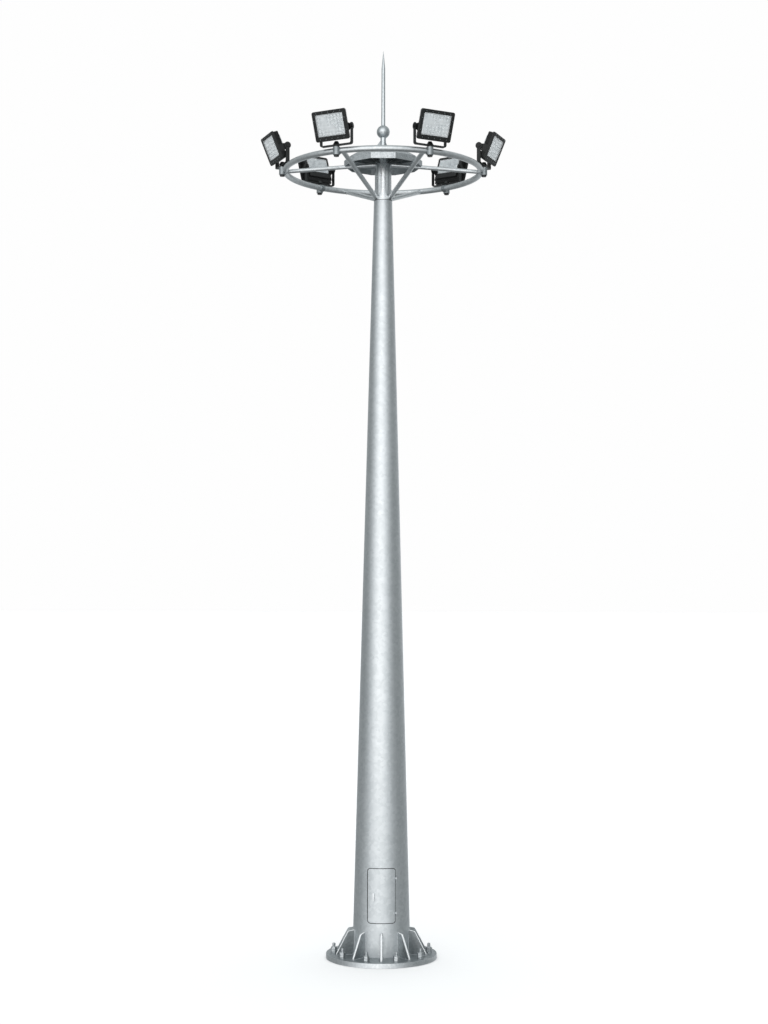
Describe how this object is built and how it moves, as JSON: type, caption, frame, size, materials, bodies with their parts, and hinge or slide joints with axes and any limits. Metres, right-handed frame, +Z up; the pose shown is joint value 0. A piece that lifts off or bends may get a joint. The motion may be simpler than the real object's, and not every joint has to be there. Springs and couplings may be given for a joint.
{
  "type": "high mast floodlight tower",
  "caption": "Tapered steel mast on a stiffened base plate, with an access door, a braced lamp ring of tilting LED floodlights, a ten-sided hood and a lightning rod.",
  "frame": {"origin": "centre of the underside of the base plate", "axes": "+Z up along the mast, -Y the side of the access door, +X to the right of someone facing the door"},
  "size_m": [3.7466, 3.2643, 13.84],
  "materials": {
    "galvanised_steel": "hot-dip galvanised, matt silver",
    "zinc_hardware": "galvanised bolts and forgings",
    "black_steel": "black powder coat on flat bar",
    "black_aluminium": "black powder coat on cast aluminium",
    "bare_aluminium": "plain extruded fins",
    "lamp_glass": "toughened cover glass"
  },
  "bodies": {
    "mast": {"base_plate": "galvanised_steel", "base_gussets": "galvanised_steel", "anchor_bolts": "zinc_hardware", "shaft_foot": "galvanised_steel", "shaft_upper": "galvanised_steel", "shaft_cap": "galvanised_steel", "head_tube": "galvanised_steel", "door_frame": "galvanised_steel", "door_hinges": "zinc_hardware", "hood_pan": "galvanised_steel", "hood_ribs": "galvanised_steel", "lamp_ring": "galvanised_steel", "ring_struts": "galvanised_steel", "ring_spokes": "galvanised_steel", "lamp_clamps": "zinc_hardware", "rod_stem": "galvanised_steel", "lightning_rod": "galvanised_steel"},
    "door": {"door_panel": "galvanised_steel"},
    "lever": {"door_lever": "zinc_hardware"},
    "yoke_1": {"lamp_yoke_1": "black_steel"},
    "lamp_1": {"lamp_housing_1": "black_aluminium", "lamp_lens_1": "lamp_glass", "lamp_heatsink_1": "bare_aluminium"},
    "yoke_2": {"lamp_yoke_2": "black_steel"},
    "lamp_2": {"lamp_housing_2": "black_aluminium", "lamp_lens_2": "lamp_glass", "lamp_heatsink_2": "bare_aluminium"},
    "yoke_3": {"lamp_yoke_3": "black_steel"},
    "lamp_3": {"lamp_housing_3": "black_aluminium", "lamp_lens_3": "lamp_glass", "lamp_heatsink_3": "bare_aluminium"},
    "yoke_4": {"lamp_yoke_4": "black_steel"},
    "lamp_4": {"lamp_housing_4": "black_aluminium", "lamp_lens_4": "lamp_glass", "lamp_heatsink_4": "bare_aluminium"},
    "yoke_5": {"lamp_yoke_5": "black_steel"},
    "lamp_5": {"lamp_housing_5": "black_aluminium", "lamp_lens_5": "lamp_glass", "lamp_heatsink_5": "bare_aluminium"},
    "yoke_6": {"lamp_yoke_6": "black_steel"},
    "lamp_6": {"lamp_housing_6": "black_aluminium", "lamp_lens_6": "lamp_glass", "lamp_heatsink_6": "bare_aluminium"}
  },
  "joints": [
    {"name": "door_hinge", "type": "hinge", "parent": "mast", "child": "door", "pos_m": [0.22322, -0.36461, 1.003], "axis": [0, 0.0309, 0.9995], "range_deg": [0, 105]},
    {"name": "lever_turn", "type": "hinge", "parent": "door", "child": "lever", "pos_m": [-0.118, -0.39975, 1.03], "axis": [-0.283, -0.9588, 0.0264], "range_deg": [0, 90]},
    {"name": "yoke_1_pan", "type": "hinge", "parent": "mast", "child": "yoke_1", "pos_m": [-0.67904, -1.37998, 12.0595], "axis": [0, 0, 1], "range_deg": [-87.2, 92.8]},
    {"name": "lamp_1_tilt", "type": "hinge", "parent": "yoke_1", "child": "lamp_1", "pos_m": [-0.67904, -1.37998, 12.3245], "axis": [0.8746, -0.4848, 0], "range_deg": [-50, 10]},
    {"name": "yoke_2_pan", "type": "hinge", "parent": "mast", "child": "yoke_2", "pos_m": [0.67904, -1.37998, 12.0595], "axis": [0, 0, 1], "range_deg": [-92.8, 87.2]},
    {"name": "lamp_2_tilt", "type": "hinge", "parent": "yoke_2", "child": "lamp_2", "pos_m": [0.67904, -1.37998, 12.3245], "axis": [0.8746, 0.4848, 0], "range_deg": [-50, 10]},
    {"name": "yoke_3_pan", "type": "hinge", "parent": "mast", "child": "yoke_3", "pos_m": [1.53425, -0.10729, 12.0595], "axis": [0, 0, 1], "range_deg": [-73, 107]},
    {"name": "lamp_3_tilt", "type": "hinge", "parent": "yoke_3", "child": "lamp_3", "pos_m": [1.53425, -0.10729, 12.3245], "axis": [0.3584, 0.9336, 0], "range_deg": [-53, 7]},
    {"name": "yoke_4_pan", "type": "hinge", "parent": "mast", "child": "yoke_4", "pos_m": [1.00902, 1.16074, 12.0595], "axis": [0, 0, 1], "range_deg": [-96, 84]},
    {"name": "lamp_4_tilt", "type": "hinge", "parent": "yoke_4", "child": "lamp_4", "pos_m": [1.00902, 1.16074, 12.3245], "axis": [-0.8192, 0.5736, 0], "range_deg": [-50, 10]},
    {"name": "yoke_5_pan", "type": "hinge", "parent": "mast", "child": "yoke_5", "pos_m": [-1.00902, 1.16074, 12.0595], "axis": [0, 0, 1], "range_deg": [-84, 96]},
    {"name": "lamp_5_tilt", "type": "hinge", "parent": "yoke_5", "child": "lamp_5", "pos_m": [-1.00902, 1.16074, 12.3245], "axis": [-0.8192, -0.5736, 0], "range_deg": [-50, 10]},
    {"name": "yoke_6_pan", "type": "hinge", "parent": "mast", "child": "yoke_6", "pos_m": [-1.53425, -0.10729, 12.0595], "axis": [0, 0, 1], "range_deg": [-107, 73]},
    {"name": "lamp_6_tilt", "type": "hinge", "parent": "yoke_6", "child": "lamp_6", "pos_m": [-1.53425, -0.10729, 12.3245], "axis": [0.3584, -0.9336, 0], "range_deg": [-53, 7]}
  ]
}
